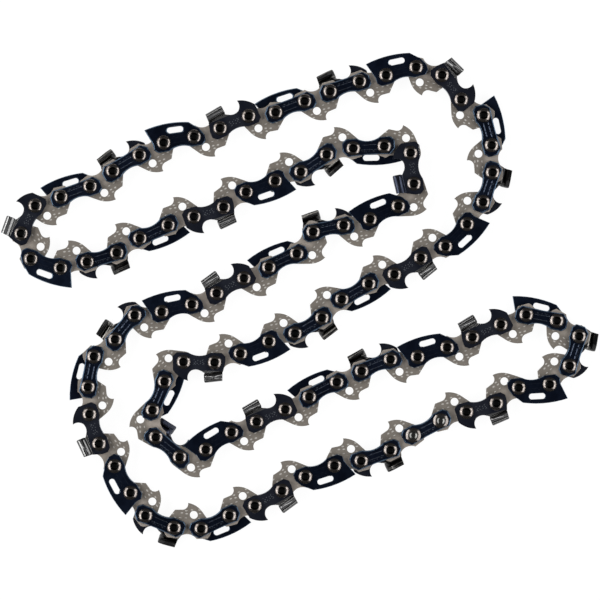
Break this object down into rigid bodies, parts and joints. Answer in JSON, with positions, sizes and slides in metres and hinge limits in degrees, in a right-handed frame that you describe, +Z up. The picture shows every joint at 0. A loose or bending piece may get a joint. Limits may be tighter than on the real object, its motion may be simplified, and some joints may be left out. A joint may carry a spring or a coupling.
{
  "type": "chainsaw chain loop",
  "caption": "Closed loop of low-profile saw chain lying flat in an S: left and right cutters with depth gauges, slotted bumper straps, tie straps, hooked drive links, riveted joints.",
  "frame": {"origin": "centre of the loop's outline, on the plane it rests on", "axes": "+Z up out of the chain's right-hand side, +X along the long side of the laid loop, +Y across it"},
  "size_m": [0.1954, 0.1616, 0.0064],
  "materials": {
    "blued_steel": "blued, near-black navy, satin",
    "chromed_blued_steel": "blued body, chromed bright on the outer side of the tooth",
    "drive_steel": "plain stamped steel, matt warm grey",
    "rivet_steel": "plain turned steel, spun heads"
  },
  "bodies": {
    "loop": {"drive_links": "drive_steel", "joining_rivets": "rivet_steel", "joining_straps": "blued_steel", "left_bumpers": "blued_steel", "left_cutters": "chromed_blued_steel", "right_bumpers": "blued_steel", "right_cutters": "chromed_blued_steel", "rivets": "rivet_steel", "tie_straps": "blued_steel"},
    "drive_link_06": {"drive_link_06": "drive_steel"},
    "upper_run_4_to_6": {"right_cutter_04": "chromed_blued_steel", "rivets_04": "rivet_steel", "tie_strap_04": "blued_steel", "left_bumper_05": "blued_steel", "rivets_05": "rivet_steel", "tie_strap_05": "blued_steel", "left_cutter_06": "chromed_blued_steel", "rivets_06": "rivet_steel", "tie_strap_06": "blued_steel", "drive_link_04": "drive_steel", "drive_link_05": "drive_steel"},
    "drive_link_03": {"drive_link_03": "drive_steel"},
    "upper_run_2_to_3": {"left_cutter_02": "chromed_blued_steel", "rivets_02": "rivet_steel", "tie_strap_02": "blued_steel", "right_bumper_03": "blued_steel", "rivets_03": "rivet_steel", "tie_strap_03": "blued_steel", "drive_link_02": "drive_steel"},
    "drive_link_01": {"drive_link_01": "drive_steel"},
    "outer_link_01": {"left_bumper_01": "blued_steel", "rivets_01": "rivet_steel", "tie_strap_01": "blued_steel"},
    "drive_link_00": {"drive_link_00": "drive_steel"},
    "tip_link_pair": {"right_cutter_00": "chromed_blued_steel", "rivets_00": "rivet_steel", "tie_strap_00": "blued_steel", "right_bumper_51": "blued_steel", "rivets_51": "rivet_steel", "tie_strap_51": "blued_steel", "drive_link_51": "drive_steel"},
    "drive_link_46": {"drive_link_46": "drive_steel"},
    "outer_link_47": {"right_bumper_47": "blued_steel", "rivets_47": "rivet_steel", "tie_strap_47": "blued_steel"},
    "drive_link_47": {"drive_link_47": "drive_steel"},
    "outer_link_48": {"right_cutter_48": "chromed_blued_steel", "rivets_48": "rivet_steel", "tie_strap_48": "blued_steel"},
    "drive_link_48": {"drive_link_48": "drive_steel"},
    "lower_run_49_to_50": {"left_bumper_49": "blued_steel", "rivets_49": "rivet_steel", "tie_strap_49": "blued_steel", "left_cutter_50": "chromed_blued_steel", "rivets_50": "rivet_steel", "tie_strap_50": "blued_steel", "drive_link_49": "drive_steel"},
    "drive_link_50": {"drive_link_50": "drive_steel"}
  },
  "joints": [
    {"name": "swing_06", "type": "hinge", "parent": "loop", "child": "drive_link_06", "pos_m": [0.02809, 0.07355, 0.0032], "axis": [0, 0, 1], "range_deg": [-12, 16]},
    {"name": "level_06", "type": "hinge", "parent": "drive_link_06", "child": "upper_run_4_to_6", "pos_m": [0.01943, 0.07155, 0.0032], "axis": [0, 0, 1], "range_deg": [-16, 12]},
    {"name": "swing_03", "type": "hinge", "parent": "upper_run_4_to_6", "child": "drive_link_03", "pos_m": [-0.02612, 0.05621, 0.0032], "axis": [0, 0, 1], "range_deg": [-12, 16]},
    {"name": "level_03", "type": "hinge", "parent": "drive_link_03", "child": "upper_run_2_to_3", "pos_m": [-0.03458, 0.05347, 0.0032], "axis": [0, 0, 1], "range_deg": [-16, 12]},
    {"name": "swing_01", "type": "hinge", "parent": "upper_run_2_to_3", "child": "drive_link_01", "pos_m": [-0.06118, 0.04226, 0.0032], "axis": [0, 0, 1], "range_deg": [-16, 16]},
    {"name": "level_01", "type": "hinge", "parent": "drive_link_01", "child": "outer_link_01", "pos_m": [-0.06855, 0.03729, 0.0032], "axis": [0, 0, 1], "range_deg": [-16, 16]},
    {"name": "swing_00", "type": "hinge", "parent": "outer_link_01", "child": "drive_link_00", "pos_m": [-0.0781, 0.03382, 0.0032], "axis": [0, 0, 1], "range_deg": [-12, 16]},
    {"name": "level_00", "type": "hinge", "parent": "drive_link_00", "child": "tip_link_pair", "pos_m": [-0.0865, 0.03092, 0.0032], "axis": [0, 0, 1], "range_deg": [-16, 12]},
    {"name": "swing_46", "type": "hinge", "parent": "loop", "child": "drive_link_46", "pos_m": [0.00028, 0.04197, 0.0032], "axis": [0, 0, 1], "range_deg": [-12, 16]},
    {"name": "level_46", "type": "hinge", "parent": "drive_link_46", "child": "outer_link_47", "pos_m": [-0.00813, 0.03907, 0.0032], "axis": [0, 0, 1], "range_deg": [-16, 12]},
    {"name": "swing_47", "type": "hinge", "parent": "outer_link_47", "child": "drive_link_47", "pos_m": [-0.01761, 0.03543, 0.0032], "axis": [0, 0, 1], "range_deg": [-16, 16]},
    {"name": "level_47", "type": "hinge", "parent": "drive_link_47", "child": "outer_link_48", "pos_m": [-0.02498, 0.03046, 0.0032], "axis": [0, 0, 1], "range_deg": [-16, 16]},
    {"name": "swing_48", "type": "hinge", "parent": "outer_link_48", "child": "drive_link_48", "pos_m": [-0.03464, 0.02732, 0.0032], "axis": [0, 0, 1], "range_deg": [-12, 16]},
    {"name": "level_48", "type": "hinge", "parent": "drive_link_48", "child": "lower_run_49_to_50", "pos_m": [-0.0431, 0.02457, 0.0032], "axis": [0, 0, 1], "range_deg": [-16, 12]},
    {"name": "swing_50", "type": "hinge", "parent": "lower_run_49_to_50", "child": "drive_link_50", "pos_m": [-0.06956, 0.0126, 0.0032], "axis": [0, 0, 1], "range_deg": [-12, 16]}
  ],
  "couplings": [
    {"joint": "level_06", "follows": "swing_06", "ratio": -1},
    {"joint": "level_03", "follows": "swing_03", "ratio": -1},
    {"joint": "level_01", "follows": "swing_01", "ratio": -1},
    {"joint": "level_00", "follows": "swing_00", "ratio": -1},
    {"joint": "swing_46", "follows": "swing_00", "ratio": 1},
    {"joint": "level_46", "follows": "swing_00", "ratio": -1},
    {"joint": "swing_47", "follows": "swing_01", "ratio": 1},
    {"joint": "level_47", "follows": "swing_01", "ratio": -1},
    {"joint": "swing_48", "follows": "swing_03", "ratio": 1},
    {"joint": "level_48", "follows": "swing_03", "ratio": -1},
    {"joint": "swing_50", "follows": "swing_06", "ratio": 1}
  ]
}
